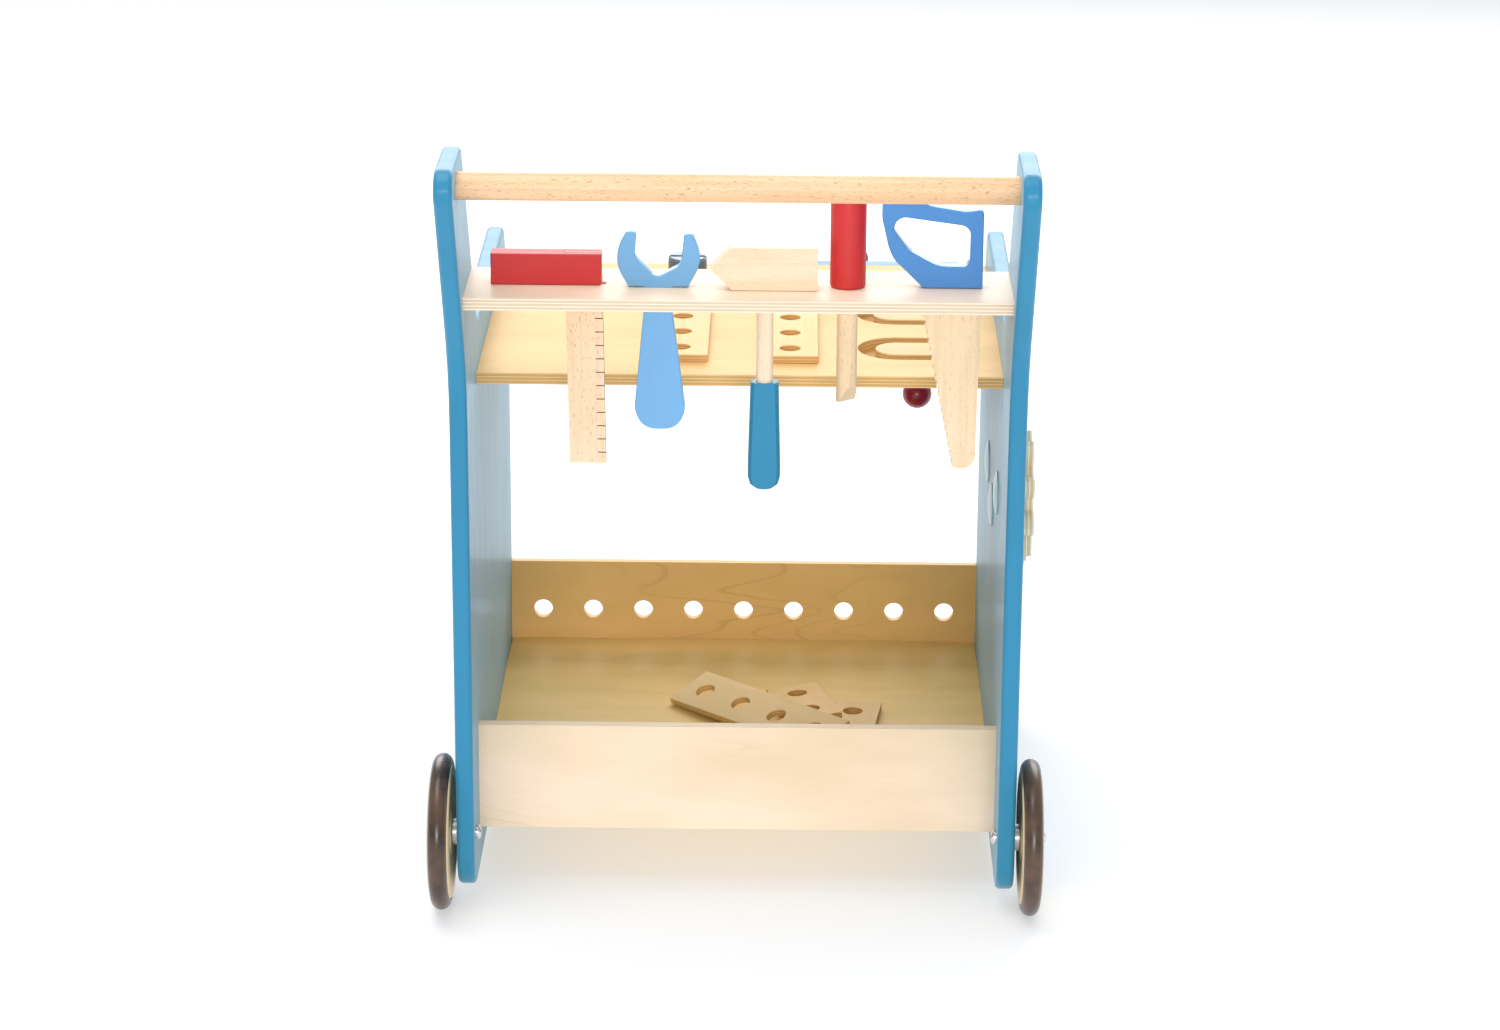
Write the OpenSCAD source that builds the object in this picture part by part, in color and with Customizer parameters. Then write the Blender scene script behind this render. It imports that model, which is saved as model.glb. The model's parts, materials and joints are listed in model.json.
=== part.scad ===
// Toy tool bench on four wheels, pushed by a rod between two side panels.
// X runs across the bench, Y away from the child who pushes it, Z up.
// The origin is on the floor, in the middle of the bench's footprint.

/* [Side panels] */
// Clear width between the two side panels
inner_w = 352; // [340:1:360]
// Thickness of a side panel
panel_t = 12; // [11:0.5:13]
// Length of a side panel at the bottom
panel_d = 394; // [390:1:400]
// Height of the bottom edge above the floor
panel_z = 13; // [10:1:16]
// Height of the horn that carries the push rod
horn_z = 536.5; // [530:0.5:540]
// Height of the low part of the panel, at the far end
low_z = 388.5; // [386:0.5:392]

/* [Boards] */
// Thickness of the rack, the worktop and the front board
ply_t = 8; // [7:0.5:9]
// Thickness of the tray floor
floor_t = 5; // [4:0.5:6]
// Height of the rack's upper face
rack_z = 438.7; // [436:0.1:442]
// Height of the worktop's upper face
top_z = 358.7; // [356:0.1:361]
// Height of the tray floor's upper face
tray_z = 56.5; // [54:0.5:59]
// Thickness of the peg board
peg_t = 6; // [5:0.5:7]

/* [Holes and strips] */
// Distance between two holes of the peg board and of the strips
pitch = 38; // [36:0.5:38]
// Diameter of these holes
hole_d = 14.3; // [13:0.1:15]
// Thickness of a strip
strip_t = 5; // [4:0.5:5]

/* [Wheels] */
// Radius of a wheel over its tyre
wheel_r = 53; // [50:0.5:55]
// Radius of the wooden disc
disc_r = 46; // [42:0.5:47]
// Thickness of the wooden disc
disc_t = 14; // [13:0.5:14]
// Distance from an axle to the end of the side panel
axle_in = 18; // [16:1:24]

/* [Gears] */
// Pitch radius for each tooth, which is half of the module
half_module = 4.5; // [4.2:0.1:4.6]
// Teeth of the near gear and of the middle gear
big_teeth = 8; // [7:1:8]
// Teeth of the far gear
small_teeth = 6; // [6:1:7]

/* [Vise] */
// How far the jaw opens
vise_travel = 40; // [20:1:42]
// Width of the jaw
jaw_w = 110; // [100:1:114]

/* [Hidden] */
$fn = 64;

blue = [0.20, 0.55, 0.74];
light_blue = [0.50, 0.72, 0.90];
red = [0.80, 0.22, 0.24];
dark_red = [0.45, 0.12, 0.15];
birch = [0.94, 0.84, 0.68];
beech = [0.93, 0.78, 0.60];
steel = [0.75, 0.76, 0.78];
rubber = [0.16, 0.14, 0.13];
slate = [0.33, 0.42, 0.50];

// Running clearance of a shaft in its hole, and the gap under a piece that lies or hangs loose
fit = 0.05;
rest_gap = 0.3;

in_x = inner_w / 2;
out_x = in_x + panel_t;

// A corner of an outline is [x, y, radius]. The outline's corners are rounded by true arcs.
function unit(v) = v / norm(v);
function turn(a) = a > 180 ? a - 360 : (a < -180 ? a + 360 : a);
function arc(o, r, a, sweep, n) = [for (i = [0:n]) o + r * [cos(a + sweep * i / n), sin(a + sweep * i / n)]];
function flat(p) = [p.x, p.y];
function rounded_corner(before, c, after) =
    let (u = unit(flat(before) - flat(c)), w = unit(flat(after) - flat(c)), half = acos(u * w) / 2)
    let (o = flat(c) + unit(u + w) * c[2] / sin(half))
    let (t1 = flat(c) + u * c[2] / tan(half) - o, t2 = flat(c) + w * c[2] / tan(half) - o)
    let (a = atan2(t1.y, t1.x), sweep = turn(atan2(t2.y, t2.x) - a))
    arc(o, c[2], a, sweep, max(3, ceil(abs(sweep) / 11)));
function rounded(c) = [for (i = [0:len(c) - 1])
    each c[i][2] == 0 ? [flat(c[i])]
        : rounded_corner(c[(i + len(c) - 1) % len(c)], c[i], c[(i + 1) % len(c)])];

// Outline of a side panel, as [distance from its near end, height, corner radius]
horn_lean = 0.63;
lean_z = 378;
panel_corners = [[0, panel_z, 28], [0, lean_z, 120], [-horn_lean * (horn_z - lean_z), horn_z, 14],
    [-10, horn_z, 14], [97, low_z, 40], [358, low_z, 18], [panel_d, 322, 60], [panel_d, panel_z, 28]];
panel_outline = rounded(panel_corners);
front_y = min([for (p = panel_outline) p.x]);
rear_y = panel_d - axle_in + wheel_r;

// Y of the side panels' near end
near_y = -(front_y + rear_y) / 2;

rod_r = 9;
rod_y = near_y - 50;
rod_z = 519.5;
rod_tenon = 6;

rack_y = near_y - 22;
rack_d = 76;
top_y = near_y + 80;
top_d = 282;
front_board_y = near_y + 50;
board_low = 43;
board_h = 75;
peg_y = near_y + 386.5;
peg_hole_z = 80;
tray_y = front_board_y + ply_t;
groove = 4;
groove_d = 290;

// Screws go through a side panel into the end of a board
screw_r = 1.75;
screw_head_r = 3.5;
screw_len = 34;
screw_at = [[rack_y + 18, rack_z - ply_t / 2], [rack_y + rack_d - 18, rack_z - ply_t / 2],
    [top_y + 30, top_z - ply_t / 2], [top_y + top_d - 30, top_z - ply_t / 2], [rod_y, rod_z],
    [front_board_y + ply_t / 2, board_low + 17], [front_board_y + ply_t / 2, board_low + board_h - 17],
    [peg_y + peg_t / 2, board_low + 17], [peg_y + peg_t / 2, board_low + board_h - 17]];

axle_r = 3;
axle_z = wheel_r;
axle_y = [near_y + axle_in, near_y + panel_d - axle_in];
bolt_head_t = 3.6;
// The near bolts' heads stand on the panel, and the far ones sink into it, behind the tray floor
bolt_inner_x = [in_x - bolt_head_t, in_x + 0.2];
spacer_t = 3.5;
wheel_x = out_x + spacer_t + rest_gap;
washer_x = wheel_x + disc_t + rest_gap;
washer_t = 0.8;
cap_x = washer_x + washer_t;
cap_r = 4.6;
cap_h = 3.2;

// Gear centres: the near gear drives the middle gear, and that drives the far gear
big_r = half_module * big_teeth;
small_r = half_module * small_teeth;
near_to_middle = -25;
middle_to_far = 11;
gear_near_at = [near_y + 118, 265];
gear_middle_at = gear_near_at + 2 * big_r * [cos(near_to_middle), sin(near_to_middle)];
gear_far_at = gear_middle_at + (big_r + small_r) * [cos(middle_to_far), sin(middle_to_far)];
gear_at = [gear_near_at, gear_middle_at, gear_far_at];
gear_t = 10;
gear_pin_r = 6;
gear_spacer_t = 0.8;
gear_x = out_x + gear_spacer_t + rest_gap;
pressure = 28;
addendum = 1.56 * half_module;
dedendum = 1.80 * half_module;
flank_play = 0.25;
// Angles that put the teeth of each gear into the gaps of the next
turn_near = near_to_middle;
turn_middle = near_to_middle + 180 + 180 / big_teeth;
turn_far = middle_to_far + 180 + 180 / small_teeth
    + (middle_to_far - turn_middle) * big_teeth / small_teeth;

// Vise at the far edge of the worktop
vise_x = 104.5;
vise_z = 300.6;
jaw_y = top_y + top_d + 0.4;
jaw_t = 12;
jaw_low = 283;
jaw_high = 358.6;
block_w = 90;
block_low = 288;
block_d = vise_travel + 25;
block_y = jaw_y - 1.4 - block_d;
spindle_r = 8;
guide_r = 5;
guide_off = 34;
hub_r = 13;
hub_len = 36;
bar_r = 4;
bar_len = 114;
ball_r = 11;
bar_tilt = -25.4;
bar_y = jaw_y + jaw_t + rest_gap + 26;
ring_r = 11;
ring_t = 1.6;

// Slots in the worktop with an island in each
slot_x = 119.8;
slot_w = 80.5;
slot_d = 53.7;
slot_y = [near_y + 146.6, near_y + 232.5];
island_gap = 12;
plate_t = 4;

// Tools hang in the rack, each at [middle in X, front face in Y]
blade_t = 5;
stock = [[-160.3, near_y + 11], [71.4, 14, 20.5]];
blade_w = 24;
blade_x = stock[0].x + stock[1].x - blade_w;
blade_lean = 2.5;
blade_low = 317;
wrench_y = near_y + 8;
wrench_t = 8;
wrench_grip = [-67.8, -34.2];
hammer_x = 17;
hammer_y = near_y + 1.5;
hammer_t = 16;
// The hammer's slot: how far it starts left of the middle, its width and its depth
hammer_slot = [11.6, 24.4, 14];
grip_low = 303;
grip_high = 376;
driver_x = 70.2;
driver_y = near_y + 16;
driver_r = 11.6;
shank_r = 6.7;
saw_y = near_y + 11;
saw_t = 10;
saw_blade_w = 38;
saw_blade_x = 118.6;
tooth_step = 6.1;
tooth_h = 1.6;

rack_top = rack_z + rest_gap;

// Long strips on the worktop, each at [middle in X, near end in Y], with its number of holes
left_strip = [-41.1, near_y + 109];
left_holes = 6;
right_strip = [33.4, near_y + 108];
right_holes = 5;
bolt_hole = 6;
bolt_head_r = 14;
bolt_head_h = 12;
bolt_shank_r = 6.5;
bolt_len = 28;

// A plate across Y: the outline is drawn in X and Z, and the plate goes back from y by t
module plate_y(y, t) {
    translate([0, y + t, 0]) rotate([90, 0, 0]) linear_extrude(t) children();
}

// A plate across X: the outline is drawn in Y and Z, and the plate goes from x to x + t
module plate_x(x, t) {
    translate([x, 0, 0]) rotate([90, 0, 90]) linear_extrude(t) children();
}

// A cylinder along X from x, and one along Y from y
module rod_x(x, at, r, h, r2 = undef) {
    translate([x, at.x, at.y]) rotate([0, 90, 0]) cylinder(h = h, r1 = r, r2 = is_undef(r2) ? r : r2);
}

module rod_along_y(at, y, r, h) {
    translate([at.x, y, at.y]) rotate([-90, 0, 0]) cylinder(h = h, r = r);
}

// Holes for the screws on one side, seen from the right-hand panel
module screw_holes(clear = 0) {
    for (s = screw_at) {
        rod_x(out_x - screw_len, s, screw_r + clear, screw_len + 1);
        rod_x(out_x - 2, s, screw_r + clear, 2.1, screw_head_r + clear);
    }
}

module both_sides() {
    children();
    mirror([1, 0, 0]) children();
}

module side_panel() {
    difference() {
        plate_x(in_x, panel_t) translate([near_y, 0]) polygon(panel_outline);
        rod_x(in_x - 1, [rod_y, rod_z], rod_r + fit, rod_tenon + 1);
        translate([in_x - 1, tray_y - fit, tray_z - floor_t - fit])
            cube([groove + 1, groove_d + 2 * fit, floor_t + 2 * fit]);
        for (y = axle_y) rod_x(in_x - 1, [y, axle_z], axle_r + fit, panel_t + 2);
        rod_x(in_x - 1, [axle_y[1], axle_z], 6, bolt_inner_x[1] + bolt_head_t - in_x + 1);
        screw_holes(fit);
        children();
    }
}

module side_panel_left() {
    color(blue) mirror([1, 0, 0]) side_panel();
}

module side_panel_right() {
    color(blue) side_panel() for (g = gear_at) rod_x(in_x - 1, g, gear_pin_r + fit, panel_t + 2);
}

module push_rod() {
    color(beech) difference() {
        rod_x(-in_x - rod_tenon, [rod_y, rod_z], rod_r, inner_w + 2 * rod_tenon);
        both_sides() screw_holes(fit);
    }
}

// Slots in the rack for the blade of the square, the wrench, the hammer, the driver and the saw
module rack_slots() {
    play = 0.4;
    cut_h = 20;
    translate([blade_x - play, stock[0].y + 4.5 - play, 0])
        cube([blade_w + blade_lean + 2 * play, blade_t + 2 * play, cut_h]);
    translate([wrench_grip[0] - play, wrench_y - play, 0])
        cube([wrench_grip[1] - wrench_grip[0] + 2 * play, wrench_t + 2 * play, cut_h]);
    translate([hammer_x - hammer_slot[0], hammer_y + hammer_t / 2 - hammer_slot[2] / 2, 0])
        cube([hammer_slot[1], hammer_slot[2], cut_h]);
    translate([driver_x, driver_y, 0]) cylinder(h = cut_h, r = shank_r + play);
    translate([saw_blade_x - 2 * play, saw_y + 2.5 - play, 0])
        cube([saw_blade_w + 3 * play, blade_t + 2 * play, cut_h]);
}

module tool_rack() {
    color(birch) difference() {
        translate([-in_x, rack_y, rack_z - ply_t]) cube([inner_w, rack_d, ply_t]);
        translate([0, 0, rack_z - 14]) rack_slots();
        both_sides() screw_holes(fit);
    }
}

// A long hole or block with round ends, centred, w across X and d across Y
module pill(w, d, h) {
    linear_extrude(h) {
        square([w - d, d], center = true);
        for (s = [-1, 1]) translate([s * (w - d) / 2, 0]) circle(d = d);
    }
}

module worktop() {
    color(birch) difference() {
        translate([-in_x, top_y, top_z - ply_t]) cube([inner_w, top_d, ply_t]);
        for (y = slot_y) translate([slot_x, y, top_z - ply_t - 1]) pill(slot_w, slot_d, ply_t + 2);
        translate([left_strip.x, left_strip.y + (bolt_hole - 0.5) * pitch, top_z - ply_t - 1])
            cylinder(h = ply_t + 2, d = hole_d);
        both_sides() screw_holes(fit);
    }
}

module slot_islands() {
    color(birch) for (y = slot_y)
        translate([slot_x, y, top_z - ply_t])
            pill(slot_w - 2 * island_gap, slot_d - 2 * island_gap, ply_t);
}

module slot_plates() {
    color(birch) for (y = slot_y)
        translate([slot_x - slot_w / 2 - 8, y - slot_d / 2 - 8, top_z - ply_t - plate_t])
            cube([slot_w + 16, slot_d + 16, plate_t]);
}

module tray_floor() {
    color(birch) translate([0, tray_y, tray_z - floor_t]) {
        translate([-in_x - groove, 0, 0]) cube([inner_w + 2 * groove, groove_d, floor_t]);
        translate([-in_x, 0, 0]) cube([inner_w, peg_y - tray_y, floor_t]);
    }
}

module cross_board(y, t) {
    difference() {
        translate([-in_x, y, board_low]) cube([inner_w, t, board_h]);
        both_sides() screw_holes(fit);
        children();
    }
}

module front_board() {
    color(birch) cross_board(front_board_y, ply_t);
}

module peg_board() {
    color(birch) cross_board(peg_y, peg_t)
        for (i = [-4:4]) rod_along_y([i * pitch, peg_hole_z], peg_y - 1, hole_d / 2, peg_t + 2);
}

module panel_screws() {
    color(steel) both_sides() for (s = screw_at) difference() {
        union() {
            rod_x(out_x - screw_len + 1, s, screw_r, screw_len - 3);
            rod_x(out_x - 2, s, screw_r, 1.9, screw_head_r - 0.15);
        }
        for (a = [0, 90]) translate([out_x - 0.9, s.x, s.y]) rotate([a, 0, 0])
            translate([0, -2, -0.4]) cube([2, 4, 0.8]);
    }
}

// A pan head with a cross slot on the inner face, and a plain shank through panel and wheel
module axle_bolts() {
    head_r = 5.3;
    crown_r = 6.2;
    color(steel) both_sides() for (i = [0, 1]) translate([bolt_inner_x[i], axle_y[i], axle_z]) difference() {
        union() {
            rod_x(bolt_head_t, [0, 0], axle_r, cap_x + cap_h - 1.6 - bolt_inner_x[i] - bolt_head_t);
            intersection() {
                rod_x(0, [0, 0], head_r, bolt_head_t);
                translate([bolt_head_t + 1.4, 0, 0]) sphere(r = crown_r);
            }
        }
        for (a = [0, 90]) rotate([a, 0, 0]) translate([-2, -3, -0.6]) cube([3.2, 6, 1.2]);
    }
}

module axle_spacers() {
    color(steel) both_sides() for (y = axle_y) difference() {
        rod_x(out_x, [y, axle_z], 9, spacer_t);
        rod_x(out_x - 1, [y, axle_z], axle_r + fit, spacer_t + 2);
    }
}

module axle_washers() {
    color(steel) both_sides() for (y = axle_y) difference() {
        rod_x(washer_x, [y, axle_z], 8, washer_t);
        rod_x(washer_x - 1, [y, axle_z], axle_r + fit, washer_t + 2);
    }
}

module axle_cap_nuts() {
    color(steel) both_sides() for (y = axle_y) difference() {
        intersection() {
            rod_x(cap_x, [y, axle_z], cap_r, cap_h);
            translate([cap_x - 2.2, y, axle_z]) sphere(r = cap_h + 2.2);
        }
        rod_x(cap_x - 1, [y, axle_z], axle_r, cap_h - 0.6);
    }
}

// Wooden disc of a wheel, with a turned hollow round its hub on both faces
module wheel_disc(side, y) {
    edge = 1.5;
    hub_r = 14;
    hollow = 1.2;
    profile = [[axle_r + 0.06, 0], [hub_r, 0], [hub_r + 2, hollow], [disc_r - 10, hollow],
        [disc_r - 8, 0], [disc_r - edge, 0], [disc_r, edge], [disc_r, disc_t - edge],
        [disc_r - edge, disc_t], [disc_r - 8, disc_t], [disc_r - 10, disc_t - hollow],
        [hub_r + 2, disc_t - hollow], [hub_r, disc_t], [axle_r + 0.06, disc_t]];
    color(birch) mirror([side < 0 ? 1 : 0, 0, 0])
        translate([wheel_x, y, axle_z]) rotate([0, 90, 0])
            rotate_extrude($fn = 128) polygon(profile);
}

// Rubber tyre round the disc, with a half-round outside
module tyre(side, y) {
    r = 6.3;
    color(rubber) mirror([side < 0 ? 1 : 0, 0, 0])
        translate([wheel_x + disc_t / 2, y, axle_z]) rotate([0, 90, 0])
            rotate_extrude($fn = 128) intersection() {
                translate([wheel_r - r, 0]) circle(r = r);
                translate([disc_r + 0.02, -r]) square([wheel_r - disc_r, 2 * r]);
            }
}

module wheel_disc_near_left() { wheel_disc(-1, axle_y[0]); }
module wheel_disc_near_right() { wheel_disc(1, axle_y[0]); }
module wheel_disc_far_left() { wheel_disc(-1, axle_y[1]); }
module wheel_disc_far_right() { wheel_disc(1, axle_y[1]); }
module tyre_near_left() { tyre(-1, axle_y[0]); }
module tyre_near_right() { tyre(1, axle_y[0]); }
module tyre_far_left() { tyre(-1, axle_y[1]); }
module tyre_far_right() { tyre(1, axle_y[1]); }

// Involute gear: angle of a flank at radius r, for a tooth centred on angle 0
function involute(a) = tan(a) * 180 / PI - a;
function flank(r, pitch_r, teeth) =
    let (base = pitch_r * cos(pressure), play = flank_play / pitch_r * 180 / PI)
    90 / teeth - play + involute(pressure) - involute(r <= base ? 0 : acos(base / r));
function tooth(pitch_r, teeth) =
    let (root = pitch_r - dedendum, tip = pitch_r + addendum, n = 6)
    let (rs = [for (i = [0:n]) root + (tip - root) * i / n])
    let (half = [for (r = rs) [r, flank(r, pitch_r, teeth)]])
    concat([for (p = half) [p[0], -p[1]]], [for (i = [n:-1:0]) half[i]]);
function gear_outline(pitch_r, teeth) = [for (k = [0:teeth - 1]) for (p = tooth(pitch_r, teeth))
    p[0] * [cos(p[1] + 360 * k / teeth), sin(p[1] + 360 * k / teeth)]];

module gear(at, pitch_r, teeth, angle) {
    recess_r = 10.3;
    recess = 3;
    color(birch) difference() {
        plate_x(gear_x, gear_t) translate(at) rotate(angle) polygon(gear_outline(pitch_r, teeth));
        rod_x(gear_x - 1, at, gear_pin_r + 0.06, gear_t + 2);
        rod_x(gear_x + gear_t - recess, at, recess_r, recess + 1);
    }
}

module gear_near() { gear(gear_near_at, big_r, big_teeth, turn_near); }
module gear_middle() { gear(gear_middle_at, big_r, big_teeth, turn_middle); }
module gear_far() { gear(gear_far_at, small_r, small_teeth, turn_far); }

// Blue pin of each gear: a wide head on the panel's inner face and a plain shank
module gear_pins() {
    head_r = 15;
    head_t = 3.2;
    crown_r = 52;
    color(blue) for (g = gear_at) difference() {
        union() {
            intersection() {
                rod_x(in_x - head_t, g, head_r, head_t);
                translate([in_x - head_t + crown_r, g.x, g.y]) sphere(r = crown_r);
            }
            rod_x(in_x, g, gear_pin_r, gear_x + gear_t - 2.7 - in_x);
        }
        rod_x(gear_x + gear_t - 22, g, 1.5, 22);
    }
}

module gear_spacers() {
    color(steel) for (g = gear_at) difference() {
        rod_x(out_x, g, 12, gear_spacer_t);
        rod_x(out_x - 1, g, gear_pin_r + fit, gear_spacer_t + 2);
    }
}

// A broad screw head holds each gear on its pin
module gear_retainers() {
    x = gear_x + gear_t - 2.7;
    color(steel) for (g = gear_at) difference() {
        union() {
            rod_x(x, g, 9.5, 1);
            rod_x(x + 1, g, 3.6, 1.5, 2.6);
            rod_x(x - 16, g, 1.45, 16);
        }
        for (a = [0, 90]) translate([x + 1.5, g.x, g.y]) rotate([a, 0, 0])
            translate([0, -2, -0.4]) cube([2, 4, 0.8]);
    }
}

vise_at = [vise_x, vise_z];

module vise_block() {
    color(beech) difference() {
        translate([vise_x - block_w / 2, block_y, block_low])
            cube([block_w, block_d, top_z - ply_t - block_low]);
        rod_along_y(vise_at, block_y - 1, spindle_r + 0.08, block_d + 2);
        for (s = [-1, 1]) rod_along_y([vise_x + s * guide_off, vise_z], block_y - 1,
            guide_r + 0.08, block_d + 2);
    }
}

module vise_jaw() {
    color(blue) difference() {
        plate_y(jaw_y, jaw_t) polygon(rounded([[vise_x - jaw_w / 2, jaw_high, 5],
            [vise_x + jaw_w / 2, jaw_high, 5], [vise_x + jaw_w / 2, jaw_low, 14],
            [vise_x - jaw_w / 2, jaw_low, 14]]));
        rod_along_y(vise_at, jaw_y - 1, spindle_r + 0.08, jaw_t + 2);
        rod_along_y(vise_at, jaw_y - 1, ring_r + 0.4, 1 + ring_t + 0.8);
        for (s = [-1, 1]) rod_along_y([vise_x + s * guide_off, vise_z], jaw_y - 1, guide_r, jaw_t + 2);
    }
}

module vise_guides() {
    color(beech) for (s = [-1, 1])
        rod_along_y([vise_x + s * guide_off, vise_z], block_y + 3, guide_r, jaw_y + jaw_t - block_y - 3);
}

module vise_spindle() {
    hub_y = jaw_y + jaw_t + rest_gap;
    color(beech) difference() {
        union() {
            rod_along_y(vise_at, block_y + 3, spindle_r, hub_y - block_y - 3);
            rod_along_y(vise_at, hub_y, hub_r, hub_len);
        }
        vise_tilted() cylinder(h = 4 * hub_r, r = bar_r + 0.02, center = true);
    }
}

module vise_ring() {
    color(steel) difference() {
        rod_along_y(vise_at, jaw_y + 0.4, ring_r, ring_t);
        rod_along_y(vise_at, jaw_y - 1, spindle_r, ring_t + 3);
    }
}

// Places its children on the bar, which slants across the spindle
module vise_tilted() {
    translate([vise_x, bar_y, vise_z]) rotate([0, bar_tilt, 0]) children();
}

module vise_bar() {
    color(beech) vise_tilted() cylinder(h = bar_len, r = bar_r, center = true);
}

module vise_balls() {
    color(dark_red) vise_tilted() for (s = [-1, 1]) difference() {
        translate([0, 0, s * bar_len / 2]) sphere(r = ball_r, $fn = 96);
        cylinder(h = bar_len, r = bar_r, center = true);
    }
}

// How far the blade of the square has moved over to the right at height z, because it leans
function lean_at(z) = blade_lean * (rack_top + stock[1].z - z) / (rack_top + stock[1].z - blade_low);

module leaning_blade() {
    high = rack_top + stock[1].z;
    plate_y(stock[0].y + 4.5, blade_t) polygon([[blade_x, high], [blade_x + blade_w, high],
        [blade_x + blade_w + blade_lean, blade_low], [blade_x + blade_lean, blade_low]]);
}

module square_stock() {
    color(red) difference() {
        translate([stock[0].x, stock[0].y, rack_top]) cube(stock[1]);
        leaning_blade();
    }
}

module square_blade() {
    tick_step = 9.1;
    tick_len = 5.4;
    color(beech) difference() {
        leaning_blade();
        for (z = [for (i = [1:11]) blade_low - 2 + i * tick_step])
            translate([blade_x + blade_w + lean_at(z) - tick_len, stock[0].y + 4, z]) cube([6, 0.8, 0.6]);
    }
}

module wrench() {
    z = rack_top;
    color(light_blue) plate_y(wrench_y, wrench_t) polygon(rounded([
        [-71.2, z, 1], [-82.4, z + 19, 24], [-72, z + 37, 4], [-66, z + 36.5, 2.5],
        [-67.2, z + 20, 6], [-53.3, z + 6, 6], [-37.6, z + 14.5, 6], [-35.5, z + 34.5, 2.5],
        [-30.5, z + 36, 3], [-22.6, z + 18.5, 22], [-32.8, z, 1], [-42.5, z, 1],
        [-43.5, z - 12, 30], [wrench_grip[1], z - 84, 16], [-40.5, z - 96, 12.5], [-61.5, z - 96, 12.5],
        [wrench_grip[0], z - 84, 16], [-61.2, z - 12, 30], [-61.2, z, 1]]));
}

module hammer_head() {
    z = rack_top;
    color(beech) difference() {
        plate_y(hammer_y, hammer_t) polygon(rounded([[-4.6, z, 1], [-18.2, z + 13.8, 1.5],
            [-4.6, z + 28.2, 1], [50.7, z + 28.2, 0.8], [50.7, z, 0.8]]));
        translate([hammer_x, hammer_y + hammer_t / 2, z - 1]) cylinder(h = 23, r = 5.45);
    }
}

module hammer_shaft() {
    color(beech) translate([hammer_x, hammer_y + hammer_t / 2, grip_high - 30])
        cylinder(h = rack_top + 22 - grip_high + 30, r = 5.45);
}

// The grip is turned, thicker towards its round end, and flattened front and back
module hammer_grip() {
    h = grip_high - grip_low;
    profile = [[0, 0], [6, 0.7], [9.3, 3.4], [10.6, 8], [10.7, 16], [9.3, h - 1], [8.4, h], [0, h]];
    color(blue) translate([hammer_x, hammer_y + hammer_t / 2, grip_low]) difference() {
        intersection() {
            rotate_extrude() polygon(profile);
            translate([-15, -6.6, 0]) cube([30, 13.2, h]);
        }
        translate([0, 0, h - 30]) cylinder(h = 31, r = 5.45);
    }
}

module driver_handle() {
    profile = [[0, 0], [driver_r - 0.8, 0], [driver_r, 0.8], [driver_r, 56], [driver_r - 1.6, 60.5],
        [driver_r - 5, 63.2], [0, 64]];
    color(red) translate([driver_x, driver_y, rack_top]) difference() {
        rotate_extrude() polygon(profile);
        translate([0, 0, -1]) cylinder(h = 31, r = shank_r);
    }
}

// The shank is cut off slantwise like a chisel
module driver_shank() {
    low = 361.5;
    color(beech) translate([driver_x, driver_y, 0]) difference() {
        translate([0, 0, low]) cylinder(h = rack_top + 30 - low, r = shank_r);
        translate([0, 0, low]) rotate([0, 0, 40]) translate([0, -0.7, 0]) rotate([26, 0, 0])
            translate([-20, -40, -40]) cube([40, 40, 80]);
    }
}

module saw_handle() {
    z = rack_top;
    color(light_blue) plate_y(saw_y, saw_t) difference() {
        polygon(rounded([[118.8, z, 2], [99.5, z + 19, 10], [96, z + 27, 20], [91.6, z + 46, 14],
            [91.8, z + 62, 8], [110, z + 62, 6], [122, z + 54.5, 16], [146, z + 50.6, 20],
            [157, z + 52.5, 3], [157, z, 1]]));
        polygon(rounded([[109, z + 25, 14], [99.3, z + 38, 5], [101, z + 47.5, 7], [148.8, z + 41, 7],
            [148.5, z + 14.2, 5], [128, z + 14.6, 20]]));
    }
}

// The near edge of the blade is cut into small round teeth, between its root and its tip
module saw_blade() {
    root = [saw_blade_x + 1.2, rack_z - 17];
    tip = [141, 316.8];
    n = round(norm(tip - root) / tooth_step);
    step = (tip - root) / n;
    out = [unit(step).y, -unit(step).x];
    teeth = [for (i = [0:n - 1]) for (k = [0:4])
        root + step * (i + k / 5) + out * tooth_h * (sin(36 * k) - 0.2)];
    round_tip = arc([146.2, 325], 8.8, 270, 85, 6);
    color(beech) plate_y(saw_y + 2.5, blade_t) polygon(concat([[saw_blade_x, rack_top]], teeth, [tip],
        round_tip, [[saw_blade_x + saw_blade_w, rack_z - 12], [saw_blade_x + saw_blade_w, rack_top]]));
}

// A strip with n holes lies along +X from the origin, with its middle line on Y = 0
module strip(n) {
    color(birch) difference() {
        translate([0, -pitch / 2, 0]) cube([n * pitch, pitch, strip_t]);
        for (i = [0:n - 1]) translate([(i + 0.5) * pitch, 0, -1]) cylinder(h = strip_t + 2, d = hole_d);
    }
}

module long_strip_left() {
    translate([left_strip.x, left_strip.y, top_z + rest_gap]) rotate(90) strip(left_holes);
}

module long_strip_right() {
    translate([right_strip.x, right_strip.y, top_z + rest_gap]) rotate(90) strip(right_holes);
}

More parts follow.
